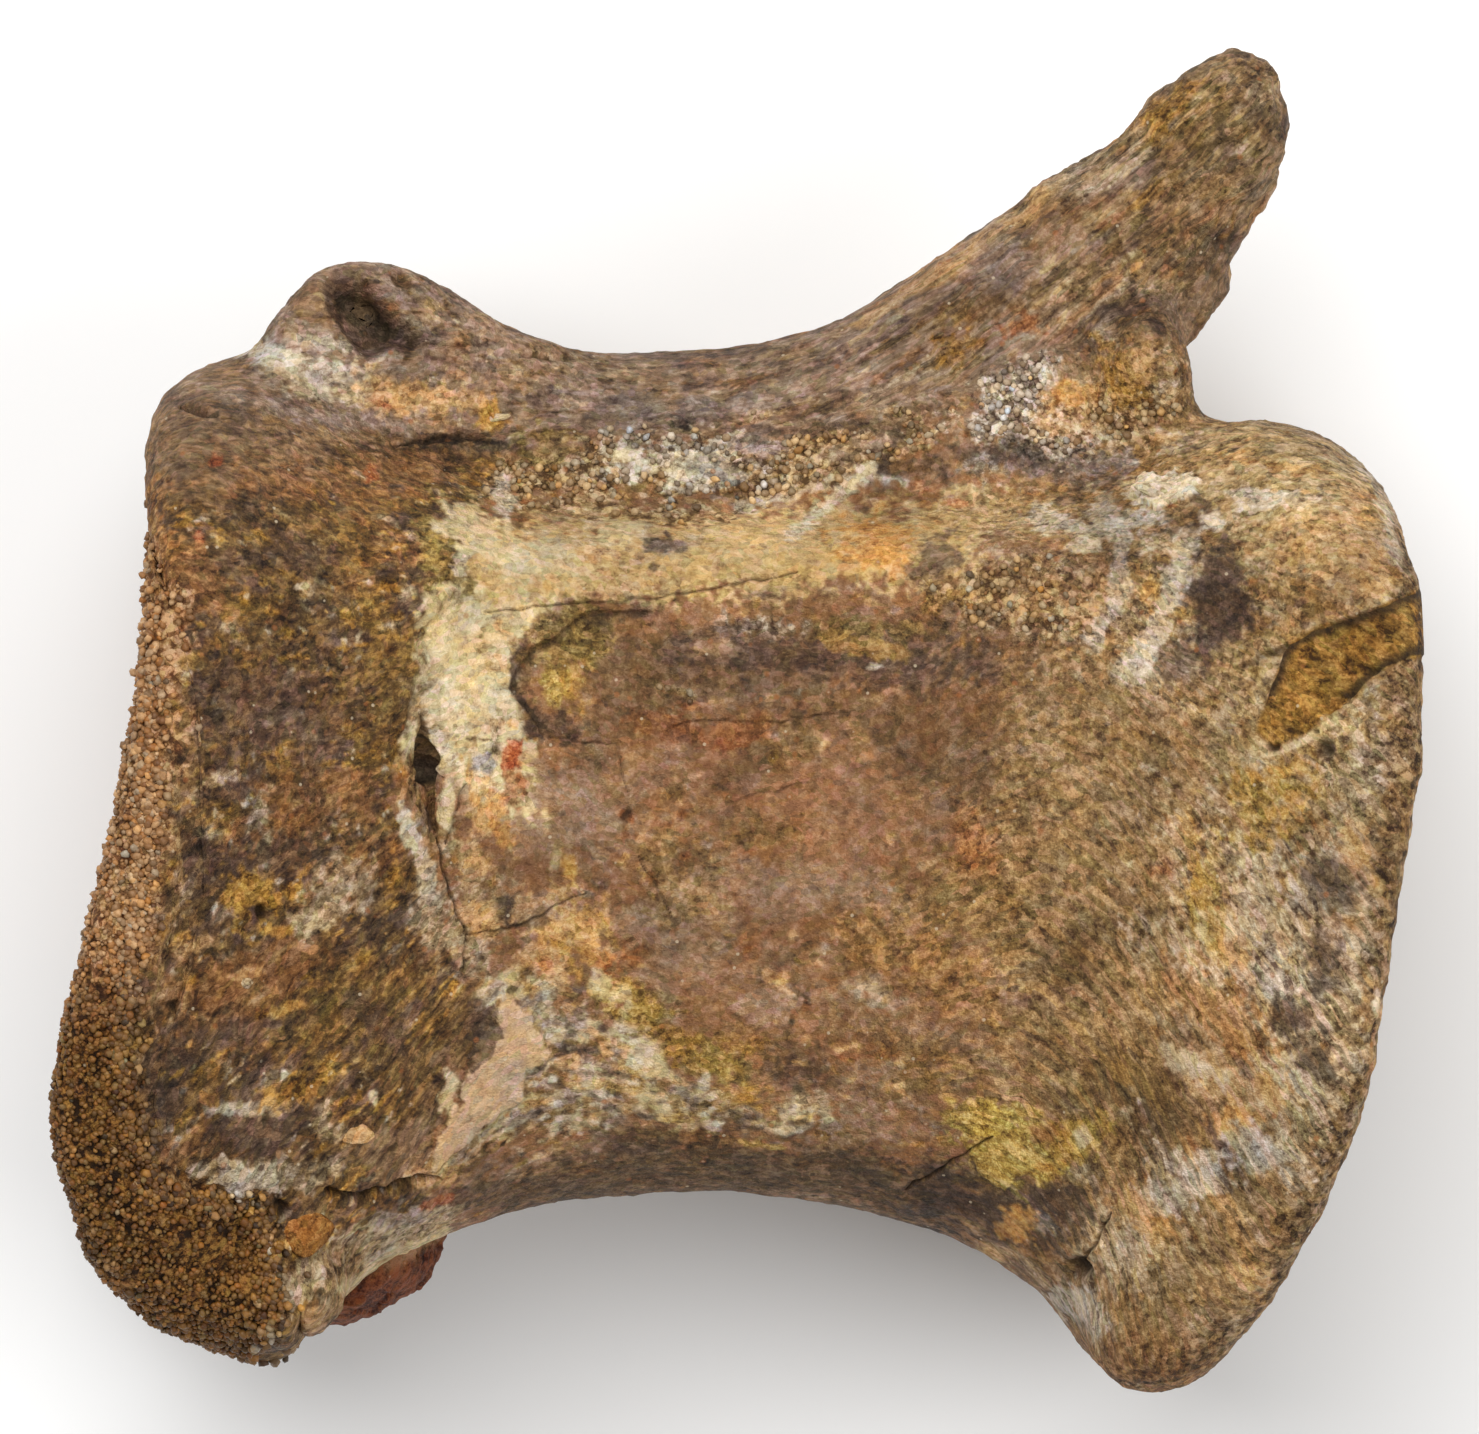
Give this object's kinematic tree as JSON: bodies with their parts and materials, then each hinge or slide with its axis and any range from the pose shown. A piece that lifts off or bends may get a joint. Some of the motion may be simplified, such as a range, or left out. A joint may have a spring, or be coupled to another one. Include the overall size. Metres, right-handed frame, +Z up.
{
  "type": "fossil dinosaur tail vertebra",
  "caption": "Fossil tail vertebra lying on its right side: waisted body with flared end rims, worn arch and spine, and desert sandstone on its front face.",
  "frame": {"origin": "on the surface that the bone lies on, under the middle of its box", "axes": "+X from the vertebra's front end to its rear end, +Y from its belly to its back, +Z up through its left side"},
  "size_m": [0.0954, 0.0942, 0.0572],
  "materials": {
    "fossil_bone": "dull, fibrous and pitted, mottled brown, ochre and cream",
    "sandstone": "rough, grainy, ochre brown"
  },
  "bodies": {
    "root": {"vertebra": "fossil_bone", "sandstone_crust": "sandstone", "sandstone_lump": "sandstone"}
  },
  "joints": []
}
